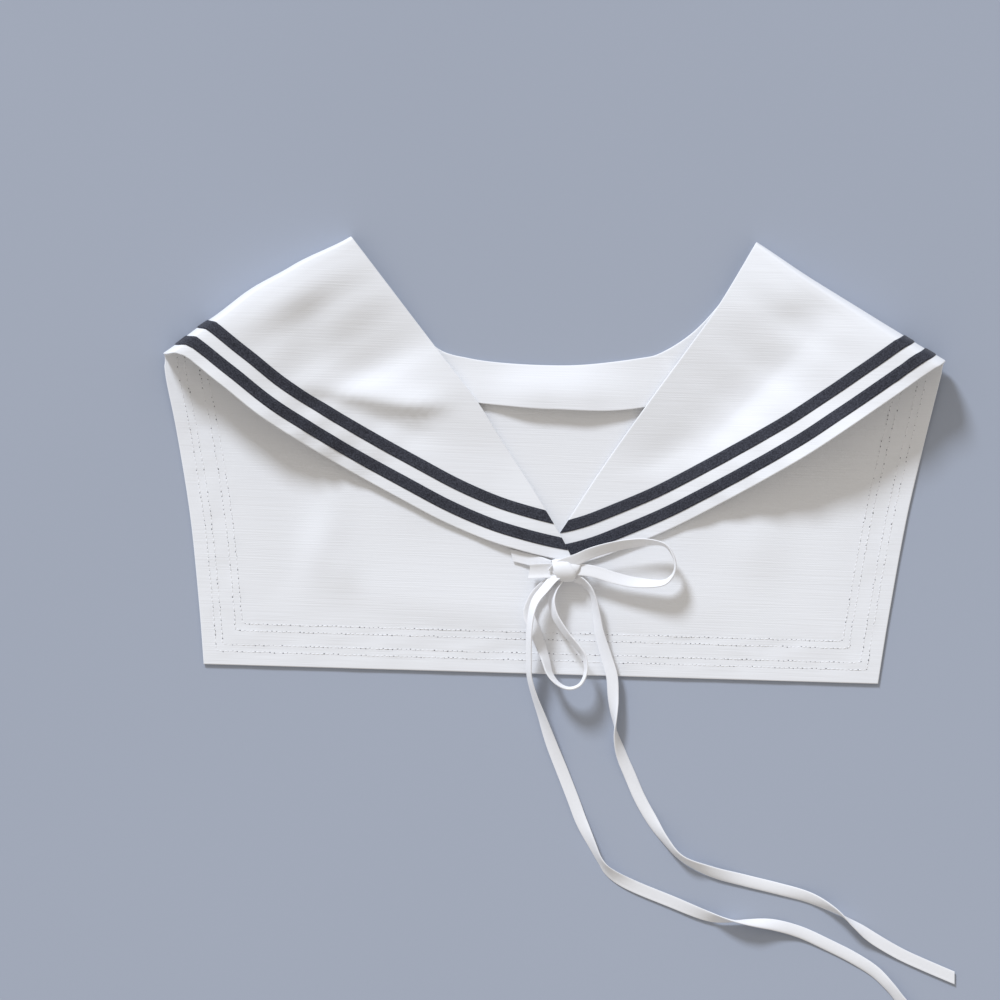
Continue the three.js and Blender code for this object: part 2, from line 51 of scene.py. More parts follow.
# Camera first: straight above, turned as the picture is
camera = {"over": (-24.65, -23.13), "wide": 500.0, "turn": 2.0, "lens": 400.0, "sensor": 36.0, "far": 50.0}


def makeCamera():
    away = camera["wide"] * mm * camera["lens"] / camera["sensor"]
    x, y = (v * mm for v in camera["over"])
    bpy.ops.object.camera_add(location=(x, y, away), rotation=(0, 0, math.radians(camera["turn"])))
    cam = bpy.context.object
    cam.name = "topCamera"
    cam.data.lens = camera["lens"]
    cam.data.clip_end = camera["far"]
    bpy.context.scene.camera = cam


makeCamera()
print("camera ready")


# Shader maths: a socket with the usual operators
class Value:
    def __init__(self, tree, socket):
        self.tree = tree
        self.socket = socket

    def math(self, operation, *others):
        node = self.tree.nodes.new("ShaderNodeMath")
        node.operation = operation
        for place, other in zip(node.inputs, (self, *others)):
            feed(self.tree, place, other)
        return Value(self.tree, node.outputs[0])

    def __add__(self, other):
        return self.math("ADD", other)

    __radd__ = __add__

    def __sub__(self, other):
        return self.math("SUBTRACT", other)

    def __rsub__(self, other):
        return (self * -1).math("ADD", other)

    def __mul__(self, other):
        return self.math("MULTIPLY", other)

    __rmul__ = __mul__

    def clamp(self):
        return self.math("MAXIMUM", 0.0).math("MINIMUM", 1.0)


def feed(tree, place, value):
    if isinstance(value, Value):
        tree.links.new(value.socket, place)
    else:
        place.default_value = value


class Finish:
    # One material: nodes are added by type, settings first and then inputs
    def __init__(self, name):
        self.material = bpy.data.materials.new(name)
        self.material.use_nodes = True
        self.tree = self.material.node_tree
        self.shader = self.tree.nodes["Principled BSDF"]

    def node(self, kind, settings=None, output=0, **inputs):
        node = self.tree.nodes.new("ShaderNode" + kind)
        for name, value in (settings or {}).items():
            setattr(node, name, value)
        for name, value in inputs.items():
            feed(self.tree, node.inputs[name.replace("_", " ")], value)
        return Value(self.tree, node.outputs[output])

    def mapped(self, scale):
        return self.node("Mapping", Vector=self.node("TexCoord", output="Object"), Scale=scale)

    def noise(self, scale, detail, **inputs):
        return self.node("TexNoise", Vector=self.mapped(scale), Scale=1.0, Detail=detail, **inputs)

    def axis(self, place, number):
        return self.node("SeparateXYZ", Vector=place, output=number)

    def mixColour(self, share, first, second):
        node = self.tree.nodes.new("ShaderNodeMix")
        node.data_type = "RGBA"
        for place, value in ((0, share), (6, (*first, 1.0)), (7, (*second, 1.0))):
            feed(self.tree, node.inputs[place], value)
        return Value(self.tree, node.outputs[2])

    def bump(self, height, distance, strength):
        return self.node("Bump", Height=height, Distance=distance, Strength=strength)

    def set(self, **values):
        for name, value in values.items():
            feed(self.tree, self.shader.inputs[name.replace("_", " ")], value)


cottonLook = {
    "light": (0.83, 0.835, 0.85),
    "shade": (0.775, 0.78, 0.80),
    # Noise scales per metre: along the slubs, across them and upwards
    "slubs": (26.0, 1500.0, 60.0),
    "broad": (16.0, 420.0, 30.0),
    "cloud": (11.0, 11.0, 11.0),
    "weave": 0.42 * mm,  # thread to thread
    "relief": 0.09 * mm,
}


def cottonFinish(name):
    look = cottonLook
    made = Finish(name)
    slubs = made.noise(look["slubs"], 2.0, Roughness=0.55)
    broad = made.noise(look["broad"], 1.0)
    cloud = made.noise(look["cloud"], 3.0)
    thread = math.pi / look["weave"]
    threads = made.mapped((thread, thread, 1.0))
    weave = made.axis(threads, 0).math("SINE") * made.axis(threads, 1).math("SINE")
    line = ((slubs - 0.5) * 2.6 + 0.5).clamp()
    tone = (line * 0.3 + broad * 0.2 + cloud * 0.45 + 0.05).clamp()
    made.set(Base_Color=made.mixColour(tone, look["shade"], look["light"]), Roughness=0.9,
             Specular_IOR_Level=0.18, Sheen_Weight=0.25, Sheen_Roughness=0.6)
    height = line * 0.7 + broad * 0.5 + weave * 0.25
    made.set(Normal=made.bump(height, look["relief"], 0.7))
    return made.material


ribbonLook = {
    "dark": (0.010, 0.011, 0.018),
    "light": (0.068, 0.072, 0.094),
    "rib": 0.62 * mm,
    "relief": 0.1 * mm,
}


def ribbonFinish():
    # Twill on the ribbon's own map: u runs along it and v across it, in metres
    look = ribbonLook
    made = Finish("navyRibbon")
    cut = made.node("UVMap", {"uv_map": "cut"})
    along, across = made.axis(cut, 0), made.axis(cut, 1)
    twill = ((along + across * 1.2) * (2 * math.pi / look["rib"])).math("SINE") * 0.5 + 0.5
    speck = made.noise((1500.0, 1500.0, 1500.0), 1.0)
    worn = made.noise((45.0, 45.0, 45.0), 2.0)
    tone = (twill * 0.34 + (speck - 0.5) * 1.9 + worn * 0.35 + 0.02).clamp()
    made.set(Base_Color=made.mixColour(tone, look["dark"], look["light"]), Roughness=0.72,
             Specular_IOR_Level=0.3, Sheen_Weight=0.12, Sheen_Roughness=0.4)
    made.set(Normal=made.bump(twill * 0.6 + speck * 0.5, look["relief"], 0.8))
    return made.material


tapeLook = {"light": (0.85, 0.85, 0.86), "shade": (0.78, 0.78, 0.80), "thread": 0.5 * mm, "relief": 0.1 * mm}


def tapeFinish():
    look = tapeLook
    made = Finish("tieCotton")
    along = made.axis(made.node("UVMap", {"uv_map": "cut"}), 0)
    fine = made.noise((700.0, 700.0, 700.0), 2.0)
    cloud = made.noise((60.0, 60.0, 60.0), 2.0)
    thread = (along * (2 * math.pi / look["thread"])).math("SINE") * 0.5 + 0.5
    tone = (fine * 0.5 + cloud * 0.6 + thread * 0.08 - 0.05).clamp()
    made.set(Base_Color=made.mixColour(tone, look["shade"], look["light"]), Roughness=0.85,
             Specular_IOR_Level=0.2, Sheen_Weight=0.2, Sheen_Roughness=0.5)
    made.set(Normal=made.bump(fine * 0.7 + thread * 0.2, look["relief"], 0.6))
    return made.material


def threadFinish(name, dark, light):
    made = Finish(name)
    grain = made.noise((900.0, 900.0, 900.0), 1.0)
    made.set(Base_Color=made.mixColour(grain, dark, light), Roughness=0.7, Specular_IOR_Level=0.3)
    made.set(Normal=made.bump(grain, 0.05 * mm, 0.5))
    return made.material


finishes = {
    "cotton": cottonFinish("whiteCotton"),
    "facing": cottonFinish("facingCotton"),
    "ribbon": ribbonFinish(),
    "tape": tapeFinish(),
    "whiteThread": threadFinish("whiteThread", (0.78, 0.78, 0.80), (0.9, 0.9, 0.9)),
    "navyThread": threadFinish("navyThread", (0.13, 0.135, 0.155), (0.36, 0.365, 0.38)),
    "navyStitch": threadFinish("navyStitch", (0.03, 0.033, 0.048), (0.10, 0.105, 0.13)),
}
print("materials ready")


# The collar's own sizes, in millimetres, the same as in the part's source where they are shared
collar = {
    "wall": 1.0,
    "ribbonWall": 0.45,
    "ribbonSeat": 0.05,
    "lie": 0.3,  # air between layers that lie on each other
    "hemWidth": 338.0,
    "cornerSpan": 390.0,
    "cornerHeight": 158.0,
    "neckSpan": 202.0,
    "neckHeight": 217.0,
    "neckDepth": 62.5,
    "tipHeight": 56.0,
    "tipWidth": 3.0,
    "rollHeight": 18.0,
    "rollNose": 6.0,
    "neckNose": 1.5,
    "rollSag": 1.5,
    "cornerLift": 2.5,
    "liftReach": 3,  # in roll heights
    "stepStart": 1.25,  # where the panel steps down beside the ribbons, and how wide, in their reach
    "stepWide": 1.1,
    "ribbonWidth": 5.8,
    "ribbonMargin": 5.4,
    "ribbonGap": 5.7,
    "facingWidth": 22.5,
    "facingDrape": 2.2,
    "facingFall": 2.6,  # more rise in the middle of the V
    "hemNeckShare": 0.24,
    "bandShare": 4 / 13,  # share of a rib that crosses the ribbons
    "bandMost": 0.6,  # most of a front's own line that it may take
    "facingAir": 0.2,
    "facingReach": 1.1,  # in facing widths
    "crossStart": 2,  # where the left front starts to rise over the right one, in facing widths
    "crossWide": 1.7,
    "calm": 0.06,  # share of a front beside the fold that has no relief
}

# x of the spans and y of the heights at which each side lies
sides = {
    "left": {
        "hem": (-0.498, -0.006), "corner": (-0.496, 0.97), "neck": (-0.504, 0.991), "tip": (0.072, 1.03),
    },
    "right": {
        "hem": (0.5, 0.006), "corner": (0.504, 1.032), "neck": (0.496, 1.01), "tip": (-0.012, 0.98),
    },
}

# Bow of each edge: (along, out) as shares of the edge's straight length
bows = {
    "side": {
        "left": [(0.04, 0.004), (0.1, 0.003), (0.25, -0.008), (0.52, -0.017), (0.8, -0.01)],
        "right": [(0.25, -0.01), (0.5, -0.016), (0.8, -0.009)],
    },
    "fold": {
        "left": [(0.3, 0.028), (0.5, 0.038), (0.75, 0.018)],
        "right": [(0.3, -0.008), (0.6, -0.006), (0.85, -0.004)],
    },
    "outer": {
        "left": [
            (0.02, 0.012), (0.045, 0.0165), (0.08, 0.01), (0.12, 0.001), (0.16, -0.007), (0.25, -0.026),
            (0.36, -0.037), (0.48, -0.0445), (0.6, -0.0485), (0.7, -0.0505), (0.8, -0.0445), (0.88, -0.0315),
            (0.95, -0.0155),
        ],
        "right": [
            (0.05, -0.0055), (0.12, -0.016), (0.18, -0.0245), (0.25, -0.034), (0.36, -0.047), (0.48, -0.054),
            (0.6, -0.0575), (0.7, -0.0575), (0.8, -0.051), (0.88, -0.043), (0.95, -0.026),
        ],
    },
    "inner": {
        "left": [(0.2, 0.01), (0.37, 0.0185), (0.53, 0.027), (0.64, 0.0225), (0.8, 0.0175), (0.93, 0.0095)],
        "right": [(0.18, -0.01), (0.32, -0.007), (0.51, 0.0), (0.71, 0.004), (0.91, 0.001)],
    },
}

# Back neck edge: (share across the neck span, dip as a share of the neck depth)
neckRows = [(0, 0), (0.05, 0.22), (0.1, 0.43), (0.16, 0.68), (0.225, 0.885), (0.3, 0.955), (0.39, 0.99),
            (0.506, 1.003), (0.6, 0.99), (0.72, 0.937), (0.775, 0.89), (0.85, 0.728), (0.917, 0.485),
            (0.964, 0.225), (1, 0)]
facingRows = [(0, 0.95), (0.4, 0.95), (0.5, 0.98), (0.64, 1.1), (1, 1.05)]  # along the neck edge, width share

# Rise of each front over the back, as shares of the roll height: at, outer edge, middle, neck edge
frontRows = {
    "left": [(0, 1, 0.8, 0.2), (0.06, 1.03, 0.84, 0.2), (0.14, 1.14, 0.66, 0.16),
             (0.24, 1.12, 0.4, 0.12), (0.32, 0.9, 0.26, 0.1), (0.38, 0.62, 0.21, 0.1),
             (0.45, 0.3, 0.18, 0.1), (0.52, 0.16, 0.1, 0.08), (0.66, 0.1, 0.06, 0.05),
             (0.8, 0.06, 0.05, 0.04), (1, 0.02, 0.02, 0.02)],
    "right": [(0, 0.96, 0.8, 0.26), (0.06, 1, 0.84, 0.26), (0.14, 1.12, 0.72, 0.22),
             (0.27, 1.18, 0.42, 0.16), (0.38, 0.98, 0.27, 0.12), (0.46, 0.72, 0.2, 0.1),
             (0.53, 0.45, 0.14, 0.09), (0.6, 0.22, 0.09, 0.07), (0.68, 0.08, 0.06, 0.05),
             (0.8, 0.04, 0.04, 0.03), (1, 0.02, 0.02, 0.02)],
}

# Soft folds and dents, in millimetres: x, y of the middle, degrees from the Y axis, long,
# wide before and after the middle, and high
backFolds = [
    (-111.5, 60.0, 8, 54.0, 9.5, 9.5, 2.2),
    (-101.4, 47.4, -12, 32.0, 7.9, 7.9, 1.4),
    (104.8, 66.4, -14, 47.0, 12.6, 12.6, 1.3),
    (-62.0, 88.0, 68, 60.0, 16.0, 16.0, 0.8),
    (70.0, 40.0, 80, 90.0, 14.0, 14.0, 0.5),
    (-20.0, 30.0, 94, 80.0, 9.0, 9.0, 0.4),
    (-1.0, 141.5, 89, 110.0, 10.0, 8.0, 1.9),
    (-52.0, 34.0, 100, 120.0, 22.0, 10.0, 0.9),
]
frontFolds = {
    "left": [
        (-120.1, 168.9, 32, 44.0, 11.0, 11.0, -2.3),
        (-134.0, 181.0, 60, 60.0, 9.0, 9.0, 0.9),
        (-88.0, 150.0, 60, 104.0, 20.0, 8.0, -2.9),
        (-91.0, 135.4, 98, 84.0, 9.0, 4.0, 3.3),
        (-66.0, 131.6, 84, 40.0, 6.0, 2.2, 1.7),
        (-82.0, 122.5, 104, 60.0, 5.0, 9.0, -2.0),
    ],
    "right": [
        (122.0, 181.5, 78, 70.0, 9.0, 9.0, -1.2),
        (99.0, 142.5, 42, 132.0, 23.0, 11.0, -4.3),
        (60.0, 112.0, 60, 60.0, 9.0, 7.0, -1.1),
        (44.0, 100.0, 84, 26.0, 4.0, 4.0, 0.35),
    ],
}


def smooth(x):
    x = np.clip(x, 0.0, 1.0)
    return x * x * (3 - 2 * x)


def lerp(a, b, t):
    return a + (b - a) * t


def column(rows, place, x):
    # Value of one column of a table between its rows, without a kink
    rows = np.array(rows, float)
    x = np.asarray(x, float)
    i = np.clip(np.searchsorted(rows[:, 0], x, side="left") - 1, 0, len(rows) - 2)
    share = smooth((x - rows[i, 0]) / (rows[i + 1, 0] - rows[i, 0]))
    return lerp(rows[i, place], rows[i + 1, place], share)


def catmull(points, count):
    points = np.array(points, float)
    last = len(points) - 1
    t = np.linspace(0, last, count)
    i = np.minimum(t.astype(int), last - 1)
    w = (t - i)[:, None]
    p0, p1, p2, p3 = (points[np.clip(i + k, 0, last)] for k in (-1, 0, 1, 2))
    v0, v1 = (p2 - p0) / 2, (p3 - p1) / 2
    return (2 * p1 - 2 * p2 + v0 + v1) * w**3 + (-3 * p1 + 3 * p2 - 2 * v0 - v1) * w**2 + v0 * w + p1


def arcOf(points):
    # Length so far at each point of a line
    return np.concatenate([[0], np.cumsum(np.linalg.norm(np.diff(points, axis=0), axis=-1))])


def readAt(where, arc, table):
    # Rows of a table at places along its arc
    return np.stack([np.interp(where, arc, values) for values in table.T], axis=-1)


samples = {"curve": 1200, "straight": 60, "tie": 2400}


class Line:
    # Smooth line through points, read by the share of its length
    def __init__(self, points):
        if len(points) > 2:
            self.samples = catmull(points, samples["curve"])
        else:
            self.samples = np.linspace(points[0], points[1], samples["straight"])
        self.arc = arcOf(self.samples)
        self.length = self.arc[-1]

    def at(self, share):
        return readAt(np.asarray(share, float) * self.length, self.arc, self.samples)

    def spaced(self, count):
        return self.at(np.linspace(0, 1, count + 1))


def bowed(start, end, rows, leftward=1):
    line = end - start
    out = np.array([-line[1], line[0]]) * leftward
    return Line([start, *[start + line * along + out * far for along, far in rows], end])


def outlineOf(side):
    place = sides[side]
    spans = {"hem": ("hemWidth", "cornerHeight"), "corner": ("cornerSpan", "cornerHeight"),
             "neck": ("neckSpan", "neckHeight"), "tip": ("neckSpan", "tipHeight")}
    found = {name: np.array([place[name][0] * collar[x], place[name][1] * collar[y]])
             for name, (x, y) in spans.items()}
    hem, corner, neck, tip = (found[name] for name in ("hem", "corner", "neck", "tip"))
    turn = 1 if side == "left" else -1
    blunt = (tip - neck) / np.linalg.norm(tip - neck) * collar["tipWidth"] / 2
    fold = neck - corner
    found["foldLength"] = np.linalg.norm(fold)
    found["foldOut"] = np.array([-fold[1], fold[0]]) / found["foldLength"] * turn
    found["sideEdge"] = bowed(corner, hem, bows["side"][side], -turn)
    found["outerEdge"] = bowed(corner, tip + blunt, bows["outer"][side], turn)
    found["neckEdge"] = bowed(neck, tip - blunt, bows["inner"][side], turn)
    return found


outlines = {side: outlineOf(side) for side in sides}
neckCurve = Line([lerp(outlines["left"]["neck"], outlines["right"]["neck"], across)
                  - np.array([0, dip * collar["neckDepth"]]) for across, dip in neckRows])
hemCurve = Line([outlines["left"]["hem"], outlines["right"]["hem"]])


def distanceTo(points, run):
    # Shortest way from each point to a run of points
    start, span = run[:-1], np.diff(run, axis=0)
    off = points[..., None, :] - start
    t = np.clip((off * span).sum(-1) / (span * span).sum(-1), 0, 1)
    return np.linalg.norm(off - span * t[..., None], axis=-1).min(-1)


backRun = np.concatenate([outlines["left"]["sideEdge"].spaced(24),
                          outlines["right"]["sideEdge"].spaced(24)[::-1]])
outerRuns = {side: outlines[side]["outerEdge"].spaced(60) for side in sides}
neckRun = neckCurve.spaced(60)
ribbonReach = collar["ribbonMargin"] + 2 * collar["ribbonWidth"] + collar["ribbonGap"]


def foldsAt(points, rows):
    height = np.zeros(points.shape[:-1])
    for x, y, turn, long, before, after, high in rows:
        off = points - np.array([x, y])
        c, s = math.cos(math.radians(turn)), math.sin(math.radians(turn))
        across = c * off[..., 0] - s * off[..., 1]
        across = across / np.where(across < 0, before, after)
        along = 2 * (s * off[..., 0] + c * off[..., 1]) / long
        height += high * np.exp(-across**2) * np.exp(-along**2 * 2)
    return height


# Small puckers that the stitching of the ribbons draws into the back panel
puckers = {
    "high": 0.1,
    "middle": 0.55,  # where they are strongest and how wide, in the ribbons' reach
    "wide": 0.45,
    "rows": [8.5, 19.0],
    "rowHigh": 0.16,
    "rowWide": 3.4,
}


def puckerAt(points, inside):
    middle, wide = puckers["middle"] * ribbonReach, puckers["wide"] * ribbonReach
    strong = np.exp(-((inside - middle) / wide) ** 2)
    x, y = points[..., 0], points[..., 1]
    ripple = (np.sin(x / 2.1 + 1.3 * np.sin(y / 9.0)) * 0.5 + np.sin(x / 3.7 + y / 5.1 + 1.0)
              + np.sin(y / 1.9 + 1.7 * np.sin(x / 8.0)) * 0.6 + np.sin(y / 4.3 - x / 6.3))
    close = sum(np.exp(-((inside - row) / puckers["rowWide"]) ** 2) for row in puckers["rows"])
    pinch = np.sin(x * 1.5 + 2.0 * np.sin(y / 3.1)) * np.sin(y * 1.35 + 2.2 * np.sin(x / 4.3))
    return puckers["high"] * strong * ripple + puckers["rowHigh"] * close * pinch


def backHeight(points):
    # Middle of the back panel's cloth: it steps over the ribbons beneath its edges
    edge = distanceTo(points, backRun)
    inside = edge - collar["stepStart"] * ribbonReach
    step = collar["ribbonWall"] + collar["ribbonSeat"]
    z = collar["wall"] / 2 + step * (1 - smooth(inside / (collar["stepWide"] * ribbonReach)))
    z = z + foldsAt(points, backFolds) + puckerAt(points, edge)
    for outline in outlines.values():
        away = np.linalg.norm(points - outline["corner"], axis=-1)
        z = z + collar["cornerLift"] * (1 - smooth(away / (collar["liftReach"] * collar["rollHeight"])))
    return z


crossing = collar["wall"] + collar["ribbonWall"] + collar["ribbonSeat"] + collar["lie"]


def frontHeight(side, points, at, b):
    # Middle of a front's cloth, clear of the facing, of the other front and of the ribbon on it
    facingRise = collar["ribbonWall"] + collar["lie"] + collar["facingAir"]
    facingWidth = collar["facingWidth"]
    past = distanceTo(points, neckRun) - collar["facingReach"] * facingWidth
    nearNeck = 1 - smooth(past / facingWidth)
    z = backHeight(points) + collar["wall"] + collar["lie"] + facingRise * nearNeck
    if side == "left":
        tip, neck = outlines["right"]["tip"], outlines["right"]["neck"]
        line = (tip - neck) / np.linalg.norm(tip - neck)
        past = (points - tip) @ np.array([-line[1], line[0]]) + collar["crossStart"] * facingWidth
        z = z + crossing * smooth(past / (collar["crossWide"] * facingWidth))
    outer, middle, inner = (column(frontRows[side], place, at) for place in (1, 2, 3))
    bend = outer * (1 - b) * (1 - 2 * b) + middle * 4 * b * (1 - b) + inner * b * (2 * b - 1)
    relief = foldsAt(points, frontFolds[side]) * smooth(4 * b) * smooth(at / collar["calm"])
    return z + collar["rollHeight"] * bend + relief


band = collar["bandShare"]


def bent(b, turn):
    return np.where(b < band, b / band * turn, lerp(turn, 1.0, (b - band) / (1 - band)))


def foldBow(side, t, nearFold):
    rows = [(0, 0), *bows["fold"][side], (1, 0)]
    outline = outlines[side]
    far = column(rows, 1, 1 - np.asarray(t)) * outline["foldLength"] * np.asarray(nearFold) ** 4
    return far[..., None] * outline["foldOut"]


def shareAt(line, run, inward):
    # Share of a rib at which it is a distance in from the outer edge
    inward = np.atleast_1d(np.asarray(inward, float))
    low, high = np.zeros_like(inward), np.ones_like(inward)
    for _ in range(18):
        mid = (low + high) / 2
        short = distanceTo(line(mid), run) < inward
        low, high = np.where(short, mid, low), np.where(short, high, mid)
    return high


class Rib:
    # A line across the cloth from the outer edge, b = 0, to the neck edge, b = 1
    def __init__(self, plan, height, run=None, roll=None, upper=None, lower=None, back=False):
        self.plan, self.height, self.run = plan, height, run
        self.roll, self.upper, self.lower, self.back = roll, upper, lower, back

    def at(self, b):
        return np.concatenate([self.plan(b), self.height(b)[..., None]], axis=-1)

    def placeAt(self, inward):
        if self.roll is not None:
            return lerp(self.upper.placeAt(inward), self.lower.placeAt(inward), self.roll)
        return shareAt(self.plan, self.run, inward)


def frontRib(side, outerShare, neckShare):
    outline = outlines[side]
    start, end = outline["outerEdge"].at(outerShare), outline["neckEdge"].at(neckShare)
    straight = lambda t: start + (end - start) * np.asarray(t)[..., None]
    turn = min(shareAt(straight, outerRuns[side], ribbonReach)[0], collar["bandMost"])

    def planAt(t):
        return straight(t) + foldBow(side, t, 1 - lerp(outerShare, neckShare, t))

    def height(b):
        t = bent(b, turn)
        return frontHeight(side, planAt(t), lerp(outerShare, neckShare, t), t)

    return Rib(lambda b: planAt(bent(b, turn)), height, run=outerRuns[side])


def backRib(side, start, knee, neckShare, nearFold):
    end = neckCurve.at(neckShare)
    first, second = np.linalg.norm(knee - start), np.linalg.norm(end - knee)
    turn = first / (first + second)

    def plan(b):
        t = bent(b, turn)[..., None]
        early = start + (knee - start) * t / turn
        late = knee + (end - knee) * (t - turn) / (1 - turn)
        return np.where(t < turn, early, late) + foldBow(side, t[..., 0], nearFold)

    return Rib(plan, lambda b: backHeight(plan(b)), run=backRun, back=True)


def kneeLine(side):
    # As far in from the side edge as the ribbons reach
    outline = outlines[side]
    other = outlines["right" if side == "left" else "left"]
    unit = lambda v: v / np.linalg.norm(v)
    down, along = unit(outline["hem"] - outline["corner"]), unit(other["hem"] - outline["hem"])
    up = (outline["neck"] - outline["corner"]) / outline["foldLength"]
    first = outline["corner"] + up * ribbonReach / abs(up[0] * down[1] - up[1] * down[0])
    half = math.acos(-along @ down) / 2
    last = outline["hem"] + unit(along - down) * ribbonReach / math.sin(half)
    return bowed(first, last, bows["side"][side], -1 if side == "left" else 1)


kneeLines = {side: kneeLine(side) for side in sides}


def nosesOf(side):
    outline = outlines[side]
    return {
        "outer": collar["rollNose"] / outline["outerEdge"].length,
        "inner": collar["neckNose"] / outline["neckEdge"].length,
        "edge": collar["rollNose"] / outline["sideEdge"].length,
        "neck": collar["neckNose"] / neckCurve.length,
    }


def frontRibAt(side, way):
    nose = nosesOf(side)
    return frontRib(side, lerp(1.0, nose["outer"], way), lerp(1.0, nose["inner"], way))


def sideRibAt(side, edge, neckShare):
    start, knee = outlines[side]["sideEdge"].at(edge), kneeLines[side].at(edge)
    return backRib(side, start, knee, neckShare if side == "left" else 1 - neckShare, 1 - edge)


ribCounts = {"front": 66, "roll": 17, "side": 46, "hem": 90}
crowding = 1.2  # brings the ribs closer together towards the tips and the folds


def rollRib(side, turn, upper, lower):
    nose = nosesOf(side)
    inward = 1 - math.sin(turn)
    over = frontRib(side, nose["outer"] * inward, nose["inner"] * inward)
    under = sideRibAt(side, nose["edge"] * inward, nose["neck"] * inward)
    rise = ((1 + math.cos(turn)) / 2) ** collar["rollSag"]
    return Rib(lambda b: lerp(over.plan(b), under.plan(b), turn / math.pi),
               lambda b: lerp(lower.height(b), upper.height(b), rise),
               roll=turn / math.pi, upper=upper, lower=lower, back=turn > math.pi / 2)


def ribsOf(side):
    nose = nosesOf(side)
    fronts = ribCounts["front"]
    found = [frontRibAt(side, (i / fronts) ** crowding) for i in range(fronts + 1)]
    upper, lower = found[-1], sideRibAt(side, nose["edge"], nose["neck"])
    for i in range(1, ribCounts["roll"] + 1):
        found.append(rollRib(side, math.pi * i / (ribCounts["roll"] + 1), upper, lower))
    for i in range(ribCounts["side"] + 1):
        way = (i / ribCounts["side"]) ** crowding
        neckShare = lerp(nose["neck"], collar["hemNeckShare"], way)
        found.append(sideRibAt(side, lerp(nose["edge"], 1.0, way), neckShare))
    return found


def hemRibs():
    found = []
    for i in range(ribCounts["hem"]):
        way = (i + 1) / (ribCounts["hem"] + 1)
        knee = lerp(kneeLines["left"].samples[-1], kneeLines["right"].samples[-1], way)
        neckShare = lerp(collar["hemNeckShare"], 1 - collar["hemNeckShare"], way)
        found.append(backRib("left", hemCurve.at(way), knee, neckShare, 0.0))
    return found


ribs = [*ribsOf("left"), *hemRibs(), *ribsOf("right")[::-1]]
print("ribs ready:", len(ribs))


def outOf(points):
    # Way out of the cloth's outer face at each point of a grid of rib rows
    along = np.gradient(points, axis=0)
    across = np.gradient(points, axis=1)
    normal = np.cross(across, along)
    return normal / np.maximum(np.linalg.norm(normal, axis=-1, keepdims=True), 1e-9)


def pick(piece):
    bpy.ops.object.select_all(action="DESELECT")
    piece.select_set(True)
    bpy.context.view_layer.objects.active = piece


def makeMesh(name, points, faces, material, smoothAngle, uv=None):
    mesh = bpy.data.meshes.new(name)
    mesh.from_pydata(toRow(points).tolist(), [], faces)
    mesh.update()
    if uv is not None:
        layer = mesh.uv_layers.new(name="cut")
        order = np.zeros(len(mesh.loops), np.int32)
        mesh.loops.foreach_get("vertex_index", order)
        layer.data.foreach_set("uv", np.asarray(uv, np.float32)[order].ravel())
    piece = bpy.data.objects.new(name, mesh)
    bpy.context.scene.collection.objects.link(piece)
    mesh.materials.append(material)
    pick(piece)
    bpy.ops.object.shade_smooth_by_angle(angle=math.radians(smoothAngle))
    return piece


def slab(name, top, bottom, material, smoothAngle=50.0):
    # Closed body between two grids of points that lie over each other
    rows, columns = top.shape[:2]
    points = np.concatenate([top.reshape(-1, 3), bottom.reshape(-1, 3)])
    lower = rows * columns
    faces = []
    for i in range(rows - 1):
        for j in range(columns - 1):
            a = i * columns + j
            faces.append((a, a + 1, a + columns + 1, a + columns))
            faces.append((lower + a, lower + a + columns, lower + a + columns + 1, lower + a + 1))
        first, last = i * columns, i * columns + columns - 1
        faces.append((first, first + columns, lower + first + columns, lower + first))
        faces.append((last, lower + last, lower + last + columns, last + columns))
    for j in range(columns - 1):
        end = (rows - 1) * columns + j
        faces.append((j, lower + j, lower + j + 1, j + 1))
        faces.append((end, end + 1, lower + end + 1, lower + end))
    middle = (top + bottom) / 2
    u = np.concatenate([[0], np.cumsum(np.linalg.norm(np.diff(middle, axis=0), axis=-1).mean(1))])
    v = np.concatenate([[0], np.cumsum(np.linalg.norm(np.diff(middle, axis=1), axis=-1).mean(0))])
    grid = np.stack(np.meshgrid(u, v, indexing="ij"), axis=-1).reshape(-1, 2) * mm
    return makeMesh(name, points, faces, material, smoothAngle, uv=np.concatenate([grid, grid]))


rounding = {"reach": 0.3, "least": 0.22}  # shares of a rib's length and of half the wall


def roundedWall(points, half):
    # Half the wall at each point of a grid: it rounds off towards both ends of each rib
    steps = np.linalg.norm(np.diff(points, axis=1), axis=-1)
    arc = np.concatenate([np.zeros((len(points), 1)), np.cumsum(steps, axis=1)], axis=1)
    off = np.minimum(arc, arc[:, -1:] - arc)
    radius = np.minimum(half, rounding["reach"] * arc[:, -1:])
    share = 1 - np.clip(off / np.maximum(radius, 1e-6), 0, 1)
    return half * np.maximum(np.sqrt(1 - share**2), rounding["least"])[..., None]


# Steps along a rib, in millimetres from the outer edge and then from the neck edge
clothCut = {
    "edgeSteps": [0, 0.1, 0.25, 0.45, 0.75, 1.3, 2.2, 3.4],
    "bandSteps": [4.6, 5.4, 6.3, 7.6, 9.0, 10.4, 11.2, 12.4, 14.0, 15.6, 16.9, 18.0, 19.4, 21.0, 22.0, 22.7],
    "field": 42,
    "neckSteps": [2.6, 1.7, 1.0, 0.6, 0.3, 0.12, 0],
}


def clothPlaces(rib):
    edge = [*clothCut["edgeSteps"], *clothCut["bandSteps"]]
    early = band * np.array(edge) / ribbonReach
    ends = rib.plan(np.linspace(band, 1, 12))
    length = np.linalg.norm(np.diff(ends, axis=0), axis=-1).sum()
    late = 1 - (1 - band) * np.array(clothCut["neckSteps"]) / max(length, 12.0)
    field = np.linspace(band, late[0], clothCut["field"] + 2)[1:-1]
    return np.concatenate([early, field, late])


